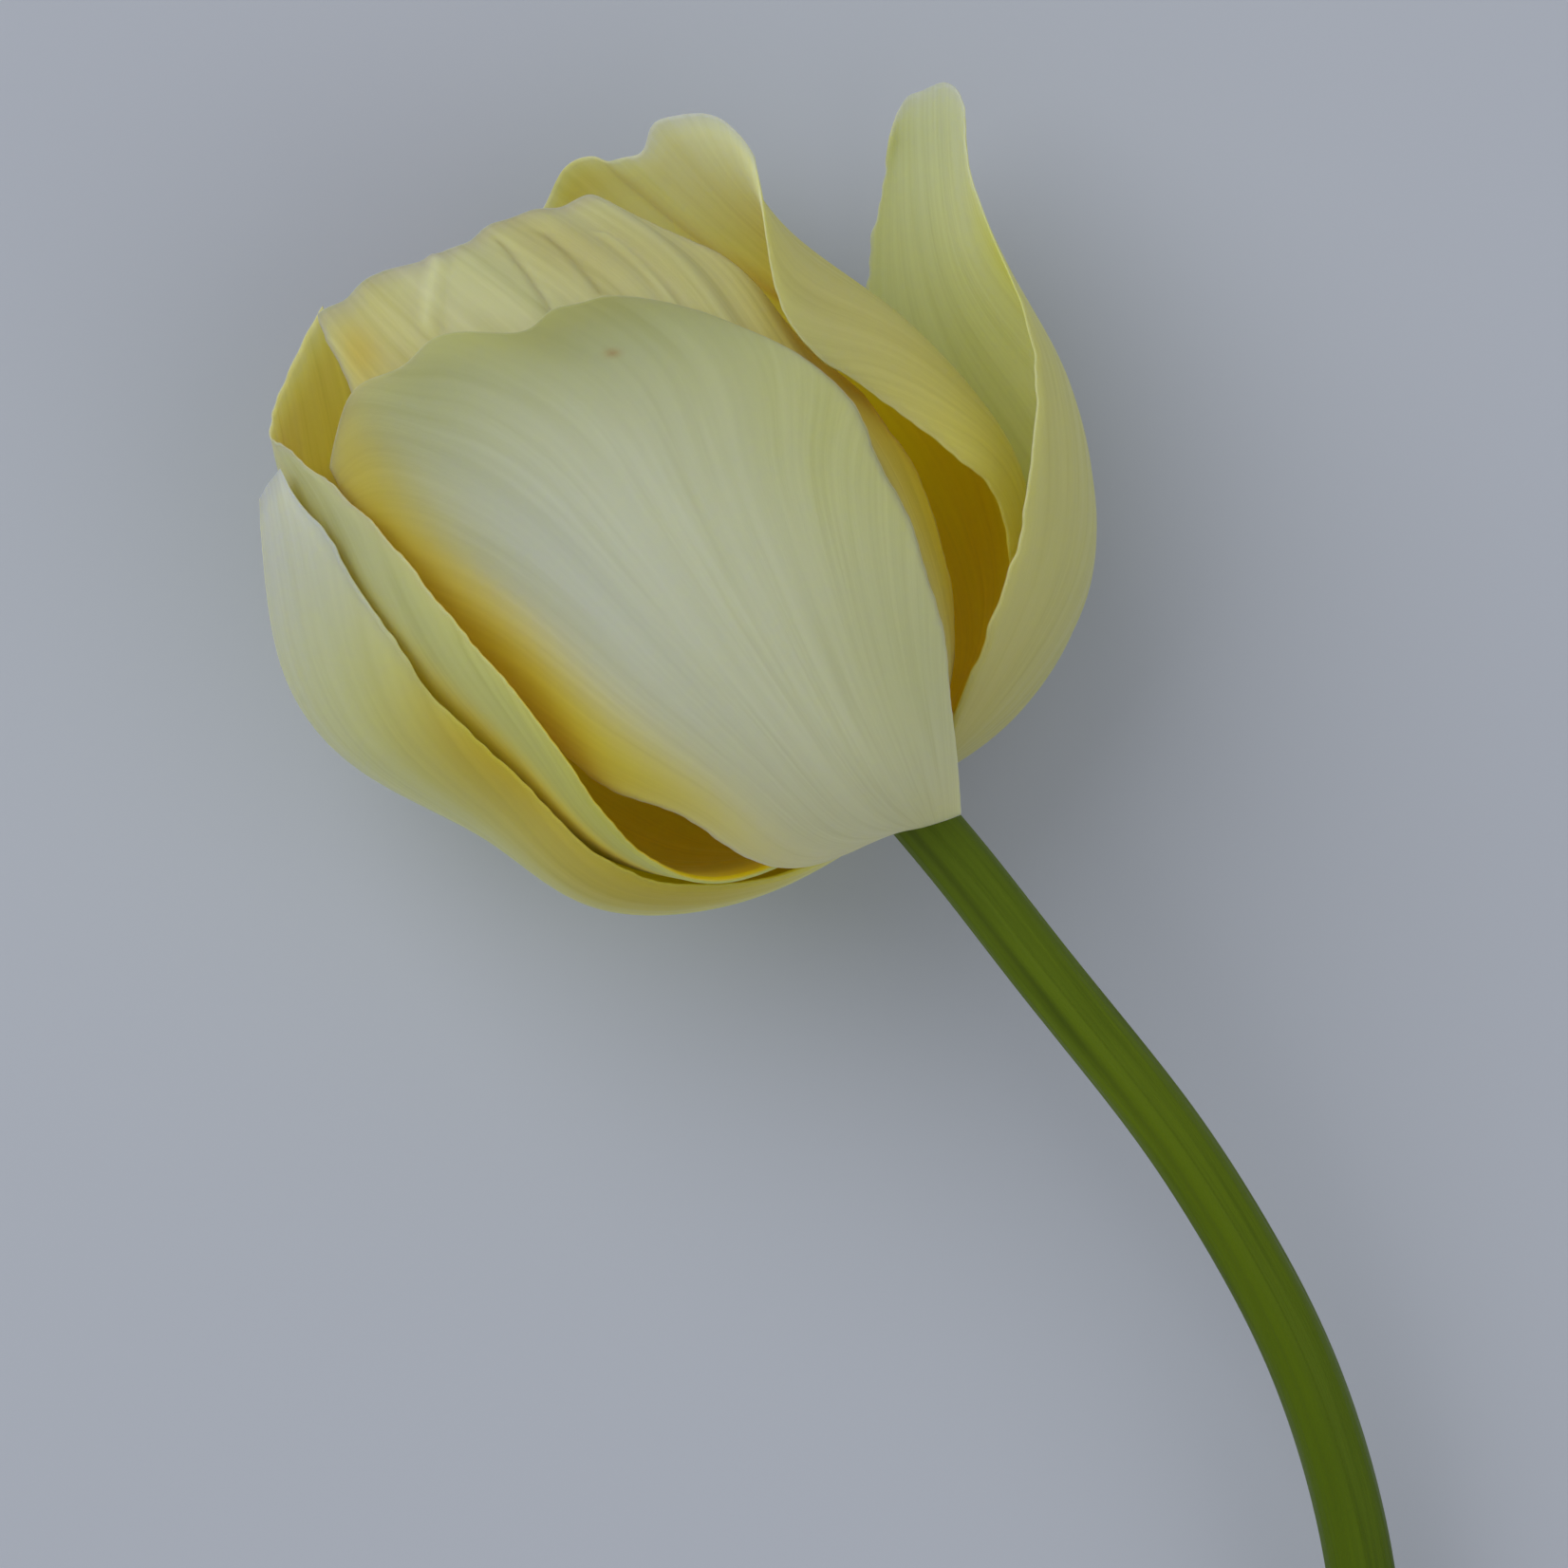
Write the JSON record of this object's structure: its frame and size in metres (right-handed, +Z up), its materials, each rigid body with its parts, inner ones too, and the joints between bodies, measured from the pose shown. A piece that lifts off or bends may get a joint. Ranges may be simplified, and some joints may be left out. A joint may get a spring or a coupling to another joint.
{
  "type": "tulip",
  "caption": "single cut tulip lying on its side, half-open cream-yellow cup of overlapping petals with one petal flaring away, on a curved bare green stem",
  "frame": {"origin": "centre of the footprint on the surface that the flower lies on: middle of the bounding box, at its bottom", "axes": "+Z up from the surface; +Y from the cut end of the stem toward the flower, the longest extent; the flower's own axis leans 45 degrees from +Y toward -X and lies level"},
  "size_m": [0.125, 0.2262, 0.0646],
  "materials": {
    "stem": "fresh green stem skin, satin, faint lengthwise grooves",
    "outer_petal": "thin translucent petal, pale cream-green outside, faint fanned veins, soft satin",
    "inner_petal": "thin translucent petal, cream-yellow with golden shade, fine lengthwise pleats, soft satin",
    "ovary": "smooth pale green, satin",
    "stigma": "soft velvety cream, matt",
    "filament": "smooth pale yellow-green, satin",
    "anther": "dusty golden brown, matt"
  },
  "bodies": {
    "root": {"stem": "stem", "outer_petal_front": "outer_petal", "outer_petal_right": "outer_petal", "outer_petal_left": "outer_petal", "inner_petal_front": "inner_petal", "inner_petal_back": "inner_petal", "inner_petal_left": "inner_petal", "ovary": "ovary", "stigma": "stigma", "filament_1": "filament", "filament_2": "filament", "filament_3": "filament", "filament_4": "filament", "filament_5": "filament", "filament_6": "filament", "anther_1": "anther", "anther_2": "anther", "anther_3": "anther", "anther_4": "anther", "anther_5": "anther", "anther_6": "anther"}
  },
  "joints": []
}
